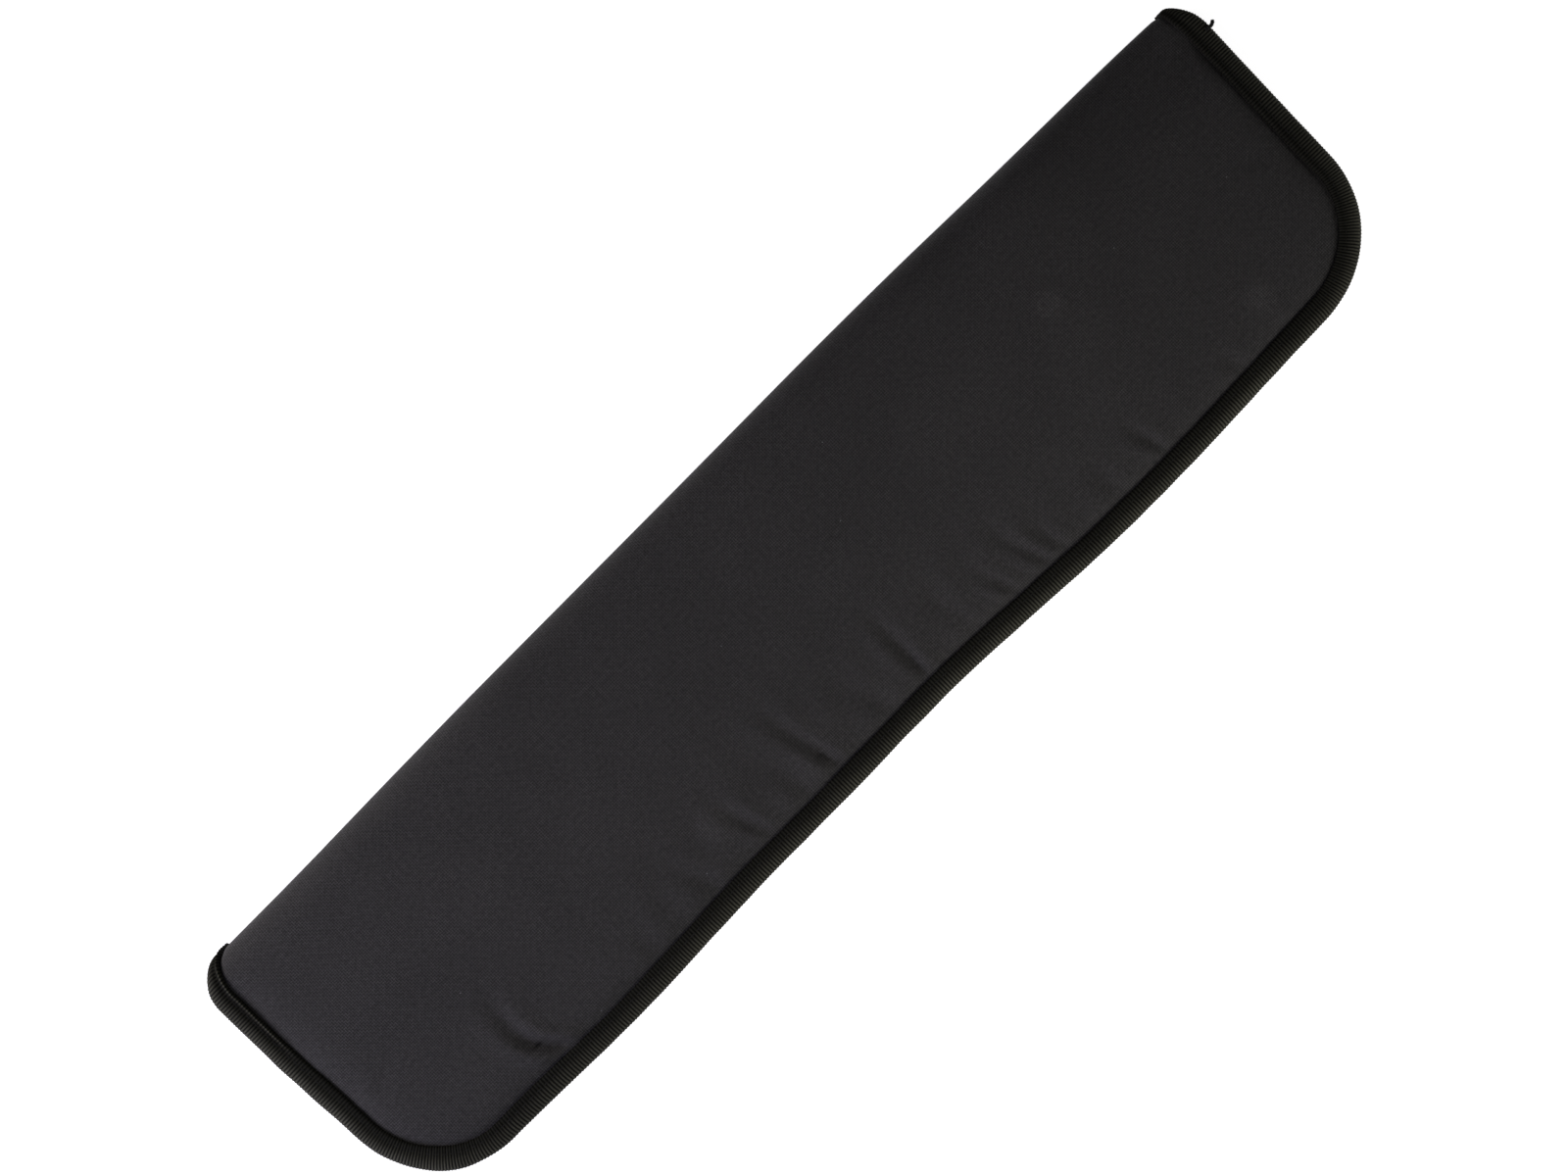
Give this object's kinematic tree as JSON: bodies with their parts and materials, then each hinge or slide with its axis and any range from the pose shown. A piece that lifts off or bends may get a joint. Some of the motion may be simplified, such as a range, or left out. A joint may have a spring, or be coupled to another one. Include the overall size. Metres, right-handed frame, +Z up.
{
  "type": "padded knife case",
  "caption": "Long padded cloth knife case that folds along one side, edged with binding tape, with a zip round the other three sides and elastic bands inside.",
  "frame": {"origin": "middle of the closed case's underside, on the surface that it lies on", "axes": "+X along the case towards the end where the zip slider is parked, +Y towards the fold, +Z up, out of the front half"},
  "size_m": [0.456, 0.113, 0.0243],
  "materials": {
    "shell_cloth": "plain-woven nylon, matt with a faint sheen",
    "foam": "closed-cell foam sheet",
    "lining_cloth": "brushed knit",
    "binding_tape": "cross-ribbed grosgrain",
    "zip_tape": "woven zip tape",
    "zip_teeth": "moulded acetal",
    "elastic": "woven elastic webbing",
    "nickel": "satin nickel plate"
  },
  "bodies": {
    "back_half": {"back_shell": "shell_cloth", "back_foam": "foam", "back_lining": "lining_cloth", "back_binding": "binding_tape", "back_zip_tape": "zip_tape", "back_zip_teeth": "zip_teeth", "back_zip_stop_head": "nickel", "back_zip_stop_foot": "nickel", "elastic_band_head": "elastic", "elastic_band_foot": "elastic"},
    "spine": {"spine_shell": "shell_cloth", "spine_foam": "foam", "spine_lining": "lining_cloth", "spine_binding_head": "binding_tape", "spine_binding_foot": "binding_tape"},
    "front_half": {"front_shell": "shell_cloth", "front_foam": "foam", "front_lining": "lining_cloth", "front_binding": "binding_tape", "front_zip_tape": "zip_tape", "front_zip_teeth": "zip_teeth", "front_zip_stop_foot": "nickel"},
    "slider": {"zip_slider": "nickel"},
    "pull": {"zip_pull": "nickel"}
  },
  "joints": [
    {"name": "spine_fold", "type": "hinge", "parent": "back_half", "child": "spine", "pos_m": [0, 0.05478, 0.00172], "axis": [-1, 0, 0], "range_deg": [0, 90]},
    {"name": "cover_fold", "type": "hinge", "parent": "spine", "child": "front_half", "pos_m": [0, 0.05478, 0.02128], "axis": [-1, 0, 0], "range_deg": [0, 90]},
    {"name": "zip_slide", "type": "slide", "parent": "back_half", "child": "slider", "axis": [-0.0349, -0.9994, 0], "range_m": [0, 0.045]},
    {"name": "pull_swing", "type": "hinge", "parent": "slider", "child": "pull", "pos_m": [0.22343, 0.03238, 0.0115], "axis": [0, 0, 1], "range_deg": [0, 140]}
  ],
  "couplings": [
    {"joint": "spine_fold", "follows": "cover_fold", "ratio": 1}
  ]
}
